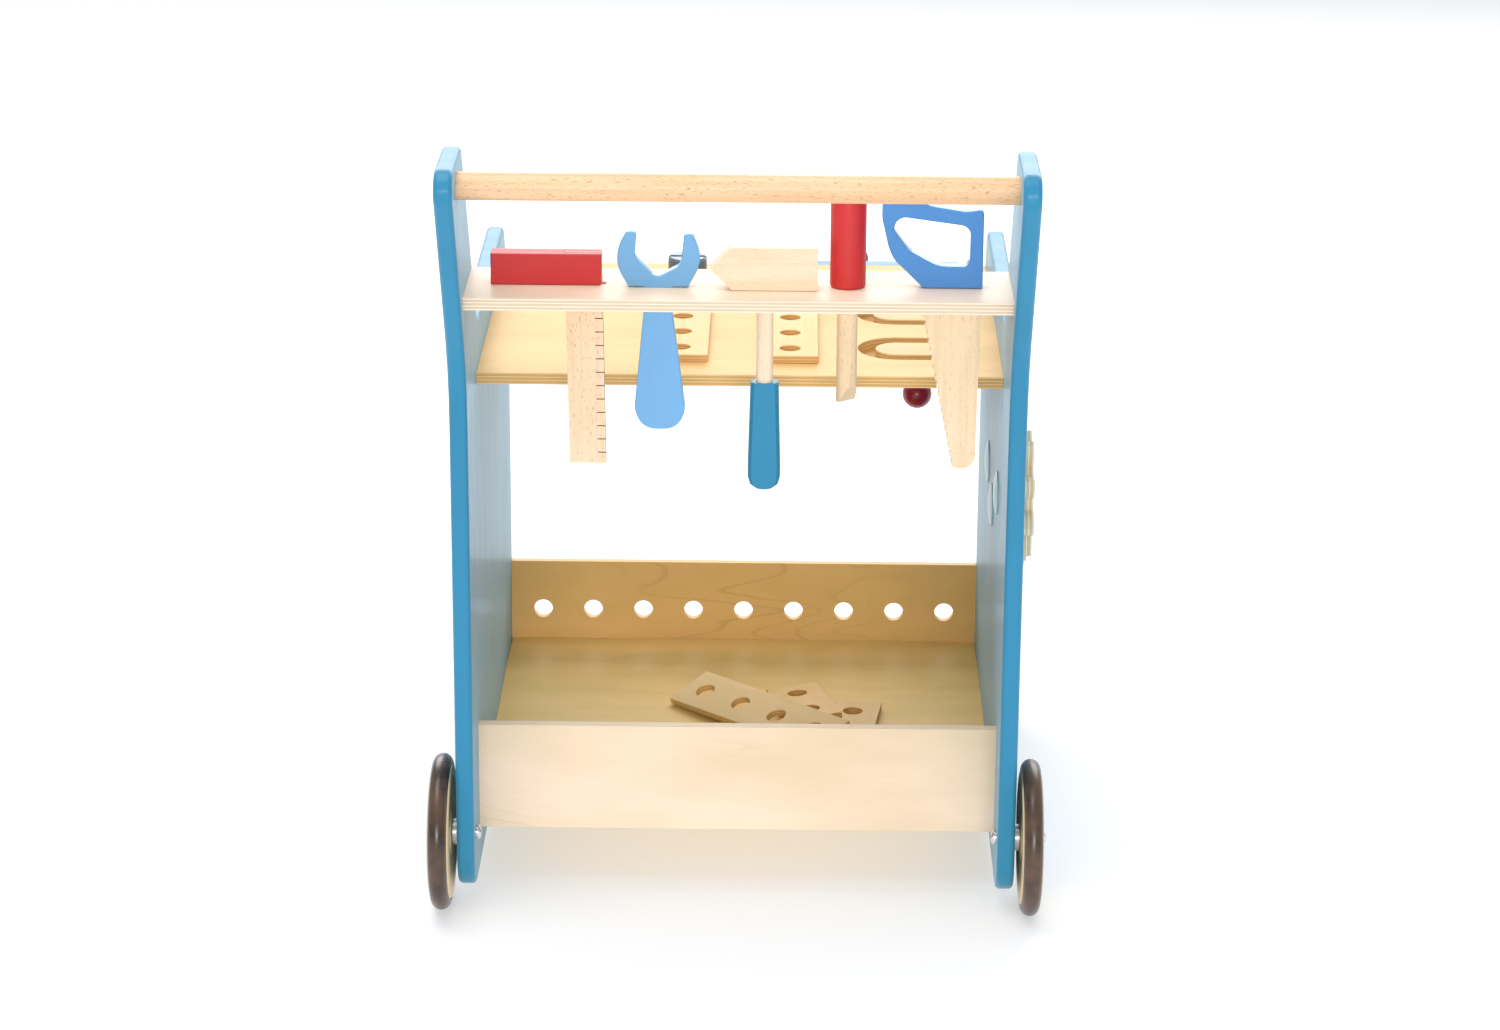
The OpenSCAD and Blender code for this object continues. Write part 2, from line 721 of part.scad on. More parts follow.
// Wooden bolt through the left strip and the worktop, with a cross slot in its head
module work_bolt() {
    head_z = top_z + strip_t + 2 * rest_gap;
    slot_deep = 4;
    color(slate) translate([left_strip.x, left_strip.y + (bolt_hole - 0.5) * pitch, head_z]) difference() {
        union() {
            translate([0, 0, -bolt_len]) cylinder(h = bolt_len, r = bolt_shank_r);
            cylinder(h = bolt_head_h - 1.5, r = bolt_head_r);
            translate([0, 0, bolt_head_h - 1.5]) cylinder(h = 1.5, r1 = bolt_head_r, r2 = bolt_head_r - 1.2);
        }
        for (a = [0, 90]) rotate(a) translate([-bolt_head_r - 1, -2, bolt_head_h - slot_deep])
            cube([2 * bolt_head_r + 2, 4, slot_deep + 1]);
    }
}

// Three strips lie on each other in the tray: flat, tipped over its edge, and leaning on both
tray_rest = tray_z + rest_gap;

module tray_strip_low() {
    translate([83.7, near_y + 245.2, tray_rest]) rotate(-97) strip(3);
}

module tray_strip_mid() {
    translate([37, near_y + 272, tray_rest + 1.6]) rotate(-76) rotate([4.2, -3.8, 0]) strip(2);
}

module tray_strip_top() {
    translate([-50.6, near_y + 249.3, tray_rest + 0.1]) rotate(-46.9) rotate([18.5, -2.2, 0])
        translate([0, pitch / 2, 0]) strip(4);
}

side_panel_left();
side_panel_right();
push_rod();
tool_rack();
worktop();
slot_islands();
slot_plates();
tray_floor();
front_board();
peg_board();
panel_screws();
axle_bolts();
axle_spacers();
axle_washers();
axle_cap_nuts();
wheel_disc_near_left();
wheel_disc_near_right();
wheel_disc_far_left();
wheel_disc_far_right();
tyre_near_left();
tyre_near_right();
tyre_far_left();
tyre_far_right();
gear_pins();
gear_spacers();
gear_retainers();
gear_near();
gear_middle();
gear_far();
vise_block();
vise_jaw();
vise_guides();
vise_spindle();
vise_ring();
vise_bar();
vise_balls();
square_stock();
square_blade();
wrench();
hammer_head();
hammer_shaft();
hammer_grip();
driver_handle();
driver_shank();
saw_handle();
saw_blade();
long_strip_left();
long_strip_right();
work_bolt();
tray_strip_low();
tray_strip_mid();
tray_strip_top();
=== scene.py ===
import json
import math

import bmesh
import bpy
from mathutils import Euler, Matrix, Vector
from mathutils.geometry import delaunay_2d_cdt

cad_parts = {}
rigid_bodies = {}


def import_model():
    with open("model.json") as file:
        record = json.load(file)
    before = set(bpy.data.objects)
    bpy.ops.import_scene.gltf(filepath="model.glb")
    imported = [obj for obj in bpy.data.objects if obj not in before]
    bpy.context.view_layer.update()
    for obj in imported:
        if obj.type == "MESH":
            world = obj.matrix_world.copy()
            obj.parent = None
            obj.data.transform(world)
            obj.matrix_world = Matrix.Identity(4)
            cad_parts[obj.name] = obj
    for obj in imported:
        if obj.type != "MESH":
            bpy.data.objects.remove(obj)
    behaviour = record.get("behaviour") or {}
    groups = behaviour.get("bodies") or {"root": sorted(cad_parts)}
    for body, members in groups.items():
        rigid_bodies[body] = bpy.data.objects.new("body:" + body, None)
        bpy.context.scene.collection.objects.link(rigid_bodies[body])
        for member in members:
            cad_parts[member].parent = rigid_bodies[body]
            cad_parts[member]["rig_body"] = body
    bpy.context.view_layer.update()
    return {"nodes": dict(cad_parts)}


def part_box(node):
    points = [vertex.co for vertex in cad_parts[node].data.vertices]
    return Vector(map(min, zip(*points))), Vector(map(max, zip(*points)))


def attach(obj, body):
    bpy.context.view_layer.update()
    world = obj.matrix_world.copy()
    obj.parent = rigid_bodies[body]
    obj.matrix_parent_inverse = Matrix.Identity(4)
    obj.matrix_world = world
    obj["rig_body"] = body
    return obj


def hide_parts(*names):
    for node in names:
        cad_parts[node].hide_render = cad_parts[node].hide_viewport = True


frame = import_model()

# The front board's near face is this far behind the side panels' near end
BOARD_SETBACK = 0.050

# Y of the side panels' near end, which the camera and the loose pieces are placed from
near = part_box("front_board")[0].y - BOARD_SETBACK

# ---------------------------------------------------------------- camera
SENSOR_MM, LENS_MM = 36.0, 98.49
CLIP_NEAR, CLIP_FAR = 0.05, 60
YAW, PITCH, ROLL = (math.radians(a) for a in (-0.554, -18.694, 0.390))
CAMERA_X, CAMERA_BACK, CAMERA_Z = 0.0328, 2.5435, 1.1479


def add_camera():
    data = bpy.data.cameras.new("camera")
    data.sensor_width = SENSOR_MM
    data.lens = LENS_MM
    data.clip_start, data.clip_end = CLIP_NEAR, CLIP_FAR
    cam = bpy.data.objects.new("camera", data)
    bpy.context.scene.collection.objects.link(cam)
    ahead = Vector((
        math.sin(YAW) * math.cos(PITCH),
        math.cos(YAW) * math.cos(PITCH),
        math.sin(PITCH),
    ))
    level = Vector((math.cos(YAW), -math.sin(YAW), 0))
    above = level.cross(ahead)
    right = level * math.cos(ROLL) + above * math.sin(ROLL)
    up = above * math.cos(ROLL) - level * math.sin(ROLL)
    pose = Matrix((right, up, -ahead)).transposed().to_4x4()
    pose.translation = Vector((CAMERA_X, near - CAMERA_BACK, CAMERA_Z))
    cam.matrix_world = pose
    bpy.context.scene.camera = cam


add_camera()


# ---------------------------------------------------------------- colours
def linear(c):
    """One sRGB channel, 0 to 1, as linear light."""
    return c / 12.92 if c <= 0.04045 else ((c + 0.055) / 1.055) ** 2.4


def lin(r, g, b):
    """An sRGB colour, 0 to 255, as the linear colour that Blender takes."""
    return (linear(r / 255), linear(g / 255), linear(b / 255), 1.0)


def times(colour, k, warm=1.0):
    """A colour k times as bright, with its blue scaled by 1 / warm."""
    return (colour[0] * k, colour[1] * k, colour[2] * k / warm, 1.0)


BLUE, SKY, HANDLE_BLUE = lin(32, 132, 172), lin(110, 170, 218), lin(66, 136, 204)
# The pin heads' pale blue is the panels' blue made lighter by painted glare
PIN_BLUE_GLARE, SLATE = lin(150, 190, 208), lin(86, 112, 132)
RED, THIN_RED, BALL_RED = lin(200, 42, 44), lin(178, 84, 84), lin(152, 20, 40)
BURNT = lin(74, 44, 26)
RACK, TOP = lin(250, 227, 208), lin(236, 194, 136)
ISLAND, PLATE = lin(228, 192, 142), lin(214, 176, 124)
# The tray floor's and peg board's colours are yellowed by painted bounce light, the yellow light
# that the tray's wood throws back
TRAY_BOUNCE_YELLOW, FRONT, PEG_BOUNCE_YELLOW = lin(254, 216, 144), lin(252, 226, 200), lin(252, 206, 134)
DISC, GEAR = lin(240, 214, 172), lin(244, 228, 200)
LOW_STRIP, MID_STRIP, TOP_STRIP = lin(238, 196, 132), lin(242, 198, 130), lin(250, 212, 150)
ROD, VISE, HAMMER = lin(249, 202, 164), lin(240, 204, 158), lin(252, 230, 208)
SQUARE_BLADE, SHANK, SAW_BLADE = lin(250, 218, 188), lin(250, 220, 188), lin(250, 221, 190)
CHROME, ZINC = (0.80, 0.80, 0.82), (0.62, 0.63, 0.65)
# The tyres' lighter brown is partly bloom and partly painted sheen
RUBBER, RUBBER_BLOOM_SHEEN = (0.030, 0.015, 0.008, 1), (0.130, 0.068, 0.036, 1)
HAZE_TINT = (0.86, 1.0, 0.98, 1)
GROUND, GROUND_PALE, WHITE = (0.60, 0.62, 0.65, 1), (0.62, 0.64, 0.67, 1), (1, 1, 1, 1)

# ---------------------------------------------------------------- materials
VARNISH_IOR, LACQUER_IOR, RUBBER_IOR = 1.46, 1.42, 1.50


class Graph:
    """A material's node tree, with short calls for the nodes used here."""

    def __init__(self, name):
        self.mat = bpy.data.materials.new(name)
        self.mat.use_nodes = True
        self.tree = self.mat.node_tree
        self.tree.nodes.clear()
        out = self.tree.nodes.new("ShaderNodeOutputMaterial")
        self.bsdf = self.tree.nodes.new("ShaderNodeBsdfPrincipled")
        self.tree.links.new(self.bsdf.outputs[0], out.inputs[0])
        self.coord = self.tree.nodes.new("ShaderNodeTexCoord")

    def link(self, value, socket):
        if isinstance(value, bpy.types.NodeSocket):
            self.tree.links.new(value, socket)
        else:
            socket.default_value = value

    def shader(self, **values):
        for name, value in values.items():
            self.link(value, self.bsdf.inputs[name.replace("_", " ")])

    def math(self, op, a, b=0.0):
        n = self.tree.nodes.new("ShaderNodeMath")
        n.operation = op
        self.link(a, n.inputs[0])
        self.link(b, n.inputs[1])
        return n.outputs[0]

    def vector_math(self, op, a, b):
        n = self.tree.nodes.new("ShaderNodeVectorMath")
        n.operation = op
        self.link(a, n.inputs[0])
        self.link(b, n.inputs[1])
        return n

    def mix(self, factor, a, b):
        n = self.tree.nodes.new("ShaderNodeMix")
        n.data_type = "RGBA"
        self.link(factor, n.inputs[0])
        self.link(a, n.inputs[6])
        self.link(b, n.inputs[7])
        return n.outputs[2]

    def lay(self, mask, amount, base, colour):
        """The colour laid over base where the mask is white, at most by this amount."""
        return self.mix(self.math("MULTIPLY", mask, amount), base, colour)

    def local(self, origin=(0, 0, 0), turn=(0, 0, 0)):
        """Coordinates from origin, along axes turned by these Euler angles."""
        n = self.tree.nodes.new("ShaderNodeMapping")
        n.vector_type = "TEXTURE"
        n.inputs["Location"].default_value = origin
        n.inputs["Rotation"].default_value = turn
        self.tree.links.new(self.coord.outputs["Object"], n.inputs["Vector"])
        return n.outputs[0]

    def scale(self, vector, xyz):
        return self.vector_math("MULTIPLY", vector, xyz).outputs[0]

    def shift(self, vector, xyz):
        return self.vector_math("ADD", vector, xyz).outputs[0]

    def part_z(self, vector):
        n = self.tree.nodes.new("ShaderNodeSeparateXYZ")
        self.link(vector, n.inputs[0])
        return n.outputs[2]

    def facing(self, axis):
        """How far the surface faces along this axis of the object, 0 to 1."""
        dot = self.vector_math("DOT_PRODUCT", self.coord.outputs["Normal"], axis)
        return self.math("ABSOLUTE", dot.outputs["Value"])

    def noise(self, vector, scale, detail, rough=0.5, distort=0.0):
        """Noise whose scale is one number, or three for X, Y and Z."""
        if isinstance(scale, tuple):
            vector, scale = self.scale(vector, scale), 1.0
        n = self.tree.nodes.new("ShaderNodeTexNoise")
        self.link(vector, n.inputs["Vector"])
        n.inputs["Scale"].default_value = scale
        n.inputs["Detail"].default_value = detail
        n.inputs["Roughness"].default_value = rough
        n.inputs["Distortion"].default_value = distort
        return n.outputs["Fac"]

    def ramp(self, factor, *stops):
        """The factor looked up in stops, which are pairs of a place and a grey or a colour."""
        n = self.tree.nodes.new("ShaderNodeValToRGB")
        els = n.color_ramp.elements
        while len(els) < len(stops):
            els.new(0.5)
        for e, (at, c) in zip(els, stops):
            e.position = at
            e.color = c if isinstance(c, tuple) else (c, c, c, 1)
        self.link(factor, n.inputs[0])
        return n.outputs[0]

    def rise(self, factor, start, end):
        """0 up to start, 1 from end, and straight between them."""
        return self.ramp(factor, (start, 0.0), (end, 1.0))

    def bump(self, height, strength, distance):
        n = self.tree.nodes.new("ShaderNodeBump")
        n.inputs["Strength"].default_value = strength
        n.inputs["Distance"].default_value = distance
        self.link(height, n.inputs["Height"])
        self.link(n.outputs[0], self.bsdf.inputs["Normal"])


# How far one step of seed moves the figure along X, Y and Z
VENEER_SHIFT, BEECH_SHIFT = (3.17, 1.73, 0.71), (2.3, 1.1, 0.7)
# Noise scales of each kind of wood figure: along the grain, and twice across it
VENEER_BLOTCH, VENEER_FIELD, VENEER_PATCH = (5, 14, 14), (2.2, 13, 13), (4, 9, 9)
VENEER_FIBRE, PLY_WANDER, PLY_PORES, PLY_GAPS = (
    (55, 1500, 1500), (18, 18, 900), (600, 600, 2600), (38, 38, 420))
BEECH_CLOUD, BEECH_BAND, BEECH_RAY, BEECH_FIBRE = (
    (7, 60, 60), (9, 260, 260), (230, 1700, 1700), (70, 1900, 1900))
# The same for lacquer, rubber, plating and the floor
PAINT_CLOUD, PAINT_GRAIN, DUST_NIBS, ORANGE_PEEL = (9, 9, 9), (60, 60, 60), 900.0, 260.0
RUBBER_SPOTS, RUBBER_SKIN = 34.0, 1400.0
PLATING_CLOUD, TURNING_MARKS, FLOOR_CLOUD = 120.0, (5200, 700, 700), 3.0


def veneer(g, p, colour, seed, figure, rings):
    """Face of a rotary-cut veneer, its grain along local X: cathedral lines, fibres, blotches."""
    q = g.shift(p, tuple(seed * k for k in VENEER_SHIFT))
    blotch = g.noise(q, VENEER_BLOTCH, detail=3.0, rough=0.55)
    base = g.mix(g.rise(blotch, 0.3, 0.72), times(colour, 0.84, 1.14), times(colour, 1.04))
    field = g.noise(q, VENEER_FIELD, detail=3.0, rough=0.42, distort=0.5)
    wave = g.math("FRACT", g.math("MULTIPLY", field, rings))
    line = g.ramp(wave, (0.0, 0.0), (0.80, 0.05), (0.95, 1.0), (1.0, 0.0))
    patch = g.rise(g.noise(q, VENEER_PATCH, detail=1.0), 0.42, 0.60)
    base = g.lay(g.math("MULTIPLY", line, patch), figure, base, times(colour, 0.66, 1.35))
    fibre = g.noise(q, VENEER_FIBRE, detail=2.0, rough=0.6)
    base = g.lay(g.rise(fibre, 0.45, 0.75), 0.22, base, times(colour, 0.74, 1.25))
    return base, fibre


def plywood(name, origin, turn, thick, plies, colour, seed, figure, rings, gloss=0.5):
    """Varnished birch plywood: local X is the face grain and local Z goes through the sheet."""
    g = Graph(name)
    p = g.local(origin, turn)
    axis = Euler(turn).to_matrix().col[2]
    face, fibre = veneer(g, p, colour, seed, figure, rings)
    edge = times(colour, 1.03)
    depth = g.math("MULTIPLY", g.math("DIVIDE", g.part_z(p), thick), plies / 2)
    along = g.noise(g.shift(p, (seed, seed, 0)), PLY_WANDER, detail=2.0)
    wander = g.math("MULTIPLY", g.math("SUBTRACT", along, 0.5), 0.16)
    stripe = g.math("FRACT", g.math("ADD", depth, wander))
    light, dark, glue = times(edge, 1.02), times(edge, 0.76, 1.2), times(edge, 0.42, 1.7)
    layers = g.ramp(
        stripe, (0.0, glue), (0.05, light), (0.45, light),
        (0.50, glue), (0.56, dark), (0.95, dark), (1.0, glue),
    )
    pores = g.noise(p, PLY_PORES, detail=2.0, rough=0.6)
    layers = g.lay(g.rise(pores, 0.45, 0.7), 0.22, layers, times(edge, 0.60, 1.3))
    gap = g.rise(g.noise(g.shift(p, (0, 0, seed)), PLY_GAPS, detail=1.0), 0.73, 0.77)
    inner = g.ramp(stripe, (0.0, 0.0), (0.52, 0.0), (0.60, 1.0), (0.92, 1.0), (0.97, 0.0))
    layers = g.lay(gap, inner, layers, times(edge, 0.22, 2.0))
    on_edge = g.ramp(g.facing(axis), (0.45, 1.0), (0.70, 0.0))
    g.shader(
        Base_Color=g.mix(on_edge, face, layers), Specular_IOR_Level=gloss, IOR=VARNISH_IOR,
        Roughness=g.ramp(fibre, (0.25, 0.40), (0.8, 0.56)),
    )
    g.bump(g.mix(on_edge, fibre, pores), strength=0.22, distance=0.00018)
    return g.mat


def beech(name, origin, turn, colour, seed, flecks, gloss):
    """Varnished beech with its grain along local X: bands of growth and short dark rays."""
    g = Graph(name)
    p = g.shift(g.local(origin, turn), tuple(seed * k for k in BEECH_SHIFT))
    cloud = g.noise(p, BEECH_CLOUD, detail=3.0, rough=0.55)
    base = g.mix(g.rise(cloud, 0.32, 0.70), times(colour, 0.86, 1.12), times(colour, 1.04))
    band = g.noise(p, BEECH_BAND, detail=2.0, distort=0.2)
    base = g.lay(g.rise(band, 0.48, 0.66), 0.34, base, times(colour, 0.70, 1.3))
    ray = g.rise(g.noise(p, BEECH_RAY, detail=1.0), 0.63, 0.70)
    base = g.lay(ray, flecks, base, times(colour, 0.46, 1.7))
    fibre = g.noise(p, BEECH_FIBRE, detail=2.0, rough=0.6)
    base = g.lay(fibre, 0.16, base, times(colour, 0.66, 1.3))
    g.shader(
        Base_Color=base, Coat_Weight=gloss, Coat_Roughness=0.20,
        IOR=VARNISH_IOR, Specular_IOR_Level=0.3,
        Roughness=g.ramp(fibre, (0.2, 0.36), (0.85, 0.54)),
    )
    height = g.math("ADD", fibre, g.math("MULTIPLY", ray, -0.8))
    g.bump(height, strength=0.22, distance=0.00016)
    return g.mat


def lacquer(name, colour, rough, coat, grain=PAINT_GRAIN, relief=0.10, haze=0.0):
    """Opaque lacquer: uneven thickness, slight orange peel, the grain below and dust nibs."""
    g = Graph(name)
    p = g.local()
    cloud = g.noise(p, PAINT_CLOUD, detail=4.0, rough=0.55)
    base = g.mix(g.rise(cloud, 0.3, 0.7), times(colour, 0.93), times(colour, 1.05))
    under = g.noise(p, grain, detail=3.0, rough=0.6)
    base = g.lay(g.rise(under, 0.5, 0.8), 0.16, base, times(colour, 0.80))
    nib = g.rise(g.noise(p, DUST_NIBS, detail=0.0), 0.80, 0.84)
    base = g.lay(nib, 0.35, base, times(colour, 1.5))
    peel = g.noise(p, ORANGE_PEEL, detail=2.0)
    g.shader(
        Base_Color=base, Coat_Weight=coat, Coat_Roughness=0.10, IOR=LACQUER_IOR,
        Sheen_Weight=haze, Sheen_Roughness=0.45, Sheen_Tint=HAZE_TINT,
        Roughness=g.ramp(under, (0.2, rough), (0.9, rough + 0.14)),
    )
    grain_and_nibs = g.math("ADD", g.math("MULTIPLY", under, 0.4), nib)
    height = g.math("ADD", g.math("MULTIPLY", peel, 0.5), grain_and_nibs)
    g.bump(height, strength=relief, distance=0.00025)
    return g.mat


def rubber(name):
    """Smooth brown-black rubber whose brown patches are bloom mixed with painted sheen, with fine
    moulding texture.
    """
    g = Graph(name)
    p = g.local()
    bloom_and_sheen = g.noise(p, RUBBER_SPOTS, detail=4.0, rough=0.6)
    # The brown patches are bloom mixed with painted sheen
    g.shader(
        Base_Color=g.mix(g.rise(bloom_and_sheen, 0.35, 0.75), RUBBER, RUBBER_BLOOM_SHEEN),
        IOR=RUBBER_IOR, Specular_IOR_Level=0.6,
        Roughness=g.ramp(bloom_and_sheen, (0.3, 0.22), (0.75, 0.38)),
    )
    skin = g.noise(p, RUBBER_SKIN, detail=2.0, rough=0.6)
    g.bump(skin, strength=0.16, distance=0.0002)
    return g.mat


def metal(name, colour, low_rough, high_rough):
    """Plated steel with faint turning marks round X and a cloudy plating."""
    g = Graph(name)
    p = g.local()
    cloud = g.noise(p, PLATING_CLOUD, detail=4.0, rough=0.6)
    g.shader(
        Metallic=1.0, Base_Color=g.mix(cloud, times(colour, 0.82), times(colour, 1.0)),
        Roughness=g.ramp(cloud, (0.3, low_rough), (0.75, high_rough)),
    )
    g.bump(g.noise(p, TURNING_MARKS, detail=1.0), strength=0.10, distance=0.0001)
    return g.mat


# ---------------------------------------------------------------- meshes
CAD_MERGE, FINAL_MERGE, FLAT_TOLERANCE, CDT_TOLERANCE = 3e-6, 2e-6, 2e-5, 1e-7
COPLANAR, BEVELLED, SHADED_SHARP = (math.radians(a) for a in (0.7, 32.0, 38.0))
WIDE_BEVEL = 0.001
OUTLINE_STEPS, HOLE_STEPS = 5, 2
# Flat wood left between a rounded outline and a hole's rounding, and how fast a rounding grows
FLAT_LEFT, ROUNDING_GROWTH = 0.0002, 0.3


def pairs(items):
    """Each item with the next one, round to the first."""
    return list(zip(items, items[1:] + items[:1]))


def outlines(border):
    """The closed loops of vertices along these edges."""
    left, loops = dict.fromkeys(border), []
    while left:
        e, _ = left.popitem()
        loop = [e.verts[0], e.verts[1]]
        while True:
            step = next((x for x in loop[-1].link_edges if x in left), None)
            if step is None:
                break
            del left[step]
            loop.append(step.other_vert(loop[-1]))
        loops.append(loop[:-1])
    return loops


def area(loop):
    return sum(a.co.y * b.co.z - b.co.y * a.co.z for a, b in pairs(loop)) / 2


def crosses(a, b, c):
    """Whether the side from a to b crosses the line that runs from c to one side."""
    return (a.y > c.y) != (b.y > c.y) and c.x < a.x + (c.y - a.y) * (b.x - a.x) / (b.y - a.y)


def fill(bm, verts, sides):
    """Faces across X inside these outlines, whose sides are pairs of places in verts."""
    spots = [v.co.yz for v in verts]
    walls = [(spots[a], spots[b]) for a, b in sides]
    _, _, faces, source, _, _ = delaunay_2d_cdt(spots, sides, [], 0, CDT_TOLERANCE)
    for face in faces:
        corners = [source[i][0] for i in face]
        c = sum((spots[i] for i in corners), Vector((0, 0))) / 3
        if sum(crosses(a, b, c) for a, b in walls) % 2:
            bm.faces.new([verts[i] for i in corners])


def widths(loop, holes, wide, narrow):
    """How far to round at each vertex of the outer loop: wide, but less near a hole."""
    room = []
    for a, b in pairs(loop):
        a, b = a.co.yz, b.co.yz
        gaps = []
        for v in holes:
            t = min(1, max(0, (v.co.yz - a).dot(b - a) / (b - a).length_squared))
            gaps.append((v.co.yz - a.lerp(b, t)).length)
        room.append(max(narrow, min(wide, min(gaps) - narrow - FLAT_LEFT)))
    w = [min(x, y) for x, y in zip(room, room[-1:] + room[:-1])]
    for order in (1, -1):
        for i in range(0, 2 * len(loop) * order, order):
            i, j = i % len(loop), (i - order) % len(loop)
            w[i] = min(w[i], w[j] + ROUNDING_GROWTH * (loop[i].co - loop[j].co).length)
    return w


def inward_steps(loop, outer):
    """At each vertex, how far to move in Y and Z for every side to move in by 1."""
    turn = 1 if (area(loop) > 0) == outer else -1
    flow = [(b.co - a.co).yz.normalized() for a, b in pairs(loop)]
    steps = []
    for before, after in zip(flow[-1:] + flow[:-1], flow):
        n = Vector((-before.y - after.y, before.x + after.x)) * turn
        steps.append(n / (1 + before.dot(after)))
    return steps


def round_loop(bm, loop, w, at, side, outer):
    """Rounds one outline of a face at this X, and gives the vertices of its last ring."""
    steps = OUTLINE_STEPS if outer else HOLE_STEPS
    inward = inward_steps(loop, outer)
    base = [v.co.yz for v in loop]
    for v, r in zip(loop, w):
        v.co.x = at - side * r
    ring = loop
    for k in range(1, steps + 1):
        t = math.pi / 2 * k / steps
        new = []
        for c, n, r in zip(base, inward, w):
            c = c + n * r * (1 - math.cos(t))
            new.append(bm.verts.new((at - side * r * (1 - math.sin(t)), c.x, c.y)))
        for (a, b), (c, d) in zip(pairs(ring), pairs(new)):
            bm.faces.new((a, b, d, c))
        ring = new
    return ring


def round_plate(bm, wide, narrow):
    """Rounds the outer edges of a plate flat across X by wide and its holes' by narrow."""
    for side in (-1, 1):
        at = side * max(side * v.co.x for v in bm.verts)
        flat = [f for f in bm.faces if all(abs(v.co.x - at) < FLAT_TOLERANCE for v in f.verts)]
        inside = set(flat)
        edges = list(dict.fromkeys(e for f in flat for e in f.edges))
        border = [e for e in edges if sum(f in inside for f in e.link_faces) == 1]
        loops = sorted(outlines(border), key=lambda loop: -abs(area(loop)))
        holes = [v for other in loops[1:] for v in other]
        bmesh.ops.delete(bm, geom=flat, context="FACES_ONLY")
        loose = [e for e in edges if e.is_valid and not e.link_faces]
        bmesh.ops.delete(bm, geom=loose, context="EDGES")
        last, sides = [], []
        for i, loop in enumerate(loops):
            w = [narrow] * len(loop) if i else widths(loop, holes, wide, narrow)
            ring = round_loop(bm, loop, w, at, side, i == 0)
            places = list(range(len(last), len(last) + len(ring)))
            last += ring
            sides += zip(places[-1:] + places[:-1], places)
        fill(bm, last, sides)


def dress(node, mat, width, steps=2, plate=0.0):
    """A cleaned and rounded copy of a CAD node, standing for it.

    width is how far to round its edges, and plate how far to round a plate's outline.
    """
    src = frame["nodes"][node]
    bm = bmesh.new()
    bm.from_mesh(src.data)
    bmesh.ops.remove_doubles(bm, verts=bm.verts, dist=CAD_MERGE)
    bmesh.ops.dissolve_limit(bm, angle_limit=COPLANAR, verts=bm.verts, edges=bm.edges)
    edges = [e for e in bm.edges if len(e.link_faces) == 2 and e.calc_face_angle(0) > BEVELLED]
    if plate:
        round_plate(bm, plate, width)
    elif width > 0 and edges:
        segments = steps + 2 if width > WIDE_BEVEL else steps
        bmesh.ops.bevel(
            bm, geom=edges, offset=width, segments=segments,
            profile=0.5, affect="EDGES", clamp_overlap=True,
        )
    bmesh.ops.remove_doubles(bm, verts=bm.verts, dist=FINAL_MERGE)
    bmesh.ops.recalc_face_normals(bm, faces=bm.faces)
    mesh = bpy.data.meshes.new(node + "_finish")
    bm.to_mesh(mesh)
    bm.free()
    for f in mesh.polygons:
        f.use_smooth = True
    mesh.set_sharp_from_angle(angle=SHADED_SHARP)
    mesh.materials.append(mat)
    obj = bpy.data.objects.new(node + "_finish", mesh)
    bpy.context.scene.collection.objects.link(obj)
    weighted = obj.modifiers.new("weighted", "WEIGHTED_NORMAL")
    weighted.keep_sharp = True
    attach(obj, src["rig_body"])
    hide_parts(node)


def low(node):
    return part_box(node)[0]


# ---------------------------------------------------------------- pieces
# How far edges are rounded, in metres
METAL_EDGE, NUT_EDGE, CUT_EDGE, TURNED_EDGE = 0.00012, 0.0002, 0.0002, 0.0003
BLOCK_EDGE, BOARD_EDGE, PAINT_EDGE, GRIP_EDGE = 0.0005, 0.0006, 0.0007, 0.0008
BALL_EDGE, WRENCH_EDGE, JAW_EDGE, HANDLE_EDGE = 0.0004, 0.0014, 0.0015, 0.0022
PANEL_HOLE_EDGE, PANEL_OUTLINE = 0.0003, 0.0032

# Euler angles of the wood's local axes
FLAT, UPRIGHT, ACROSS = (0, 0, 0), (-math.pi / 2, 0, 0), (0, math.pi / 2, 0)
ALONG_Y, ALONG_Z = (0, 0, math.pi / 2), (0, -math.pi / 2, 0)
ALONG_BAR = (0, math.radians(25.4), 0)

# Grain of the wood under the lacquer, as noise scales along X, Y and Z
PANEL_GRAIN, HANDLE_GRAIN, STOCK_GRAIN = (14, 90, 14), (120, 40, 18), (18, 60, 60)


def degrees(*angles):
    return tuple(math.radians(a) for a in angles)


# Side panels, with a well rounded outline
panel_blue = lacquer("blue_lacquer", BLUE, 0.40, 0.12, PANEL_GRAIN, 0.09, 0.22)
for name in ("side_panel_left", "side_panel_right"):
    dress(name, panel_blue, PANEL_HOLE_EDGE, plate=PANEL_OUTLINE)

# Boards: thickness, plies, colour, seed, figure, rings, gloss
for node, turn, thick, plies, colour, seed, figure, rings, gloss in (
    ("tool_rack", FLAT, 0.008, 7, RACK, 1.0, 0.16, 8, 0.3),
    ("worktop", FLAT, 0.008, 7, TOP, 2.0, 0.20, 8, 0.15),
    ("slot_islands", FLAT, 0.008, 7, ISLAND, 3.0, 0.22, 8, 0.15),
    ("slot_plates", FLAT, 0.004, 3, PLATE, 4.0, 0.2, 8, 0.15),
    # Tray floor and peg board: colours yellowed by painted bounce light
    ("tray_floor", FLAT, 0.005, 5, TRAY_BOUNCE_YELLOW, 5.0, 0.16, 7, 0.15),
    ("front_board", UPRIGHT, -0.008, 7, FRONT, 6.0, 0.7, 30, 0.5),
    ("peg_board", UPRIGHT, -0.006, 5, PEG_BOUNCE_YELLOW, 7.4, 0.7, 30, 0.5),
):
    m = plywood(node + "_ply", low(node), turn, thick, plies, colour, seed, figure, rings, gloss)
    dress(node, m, BOARD_EDGE)

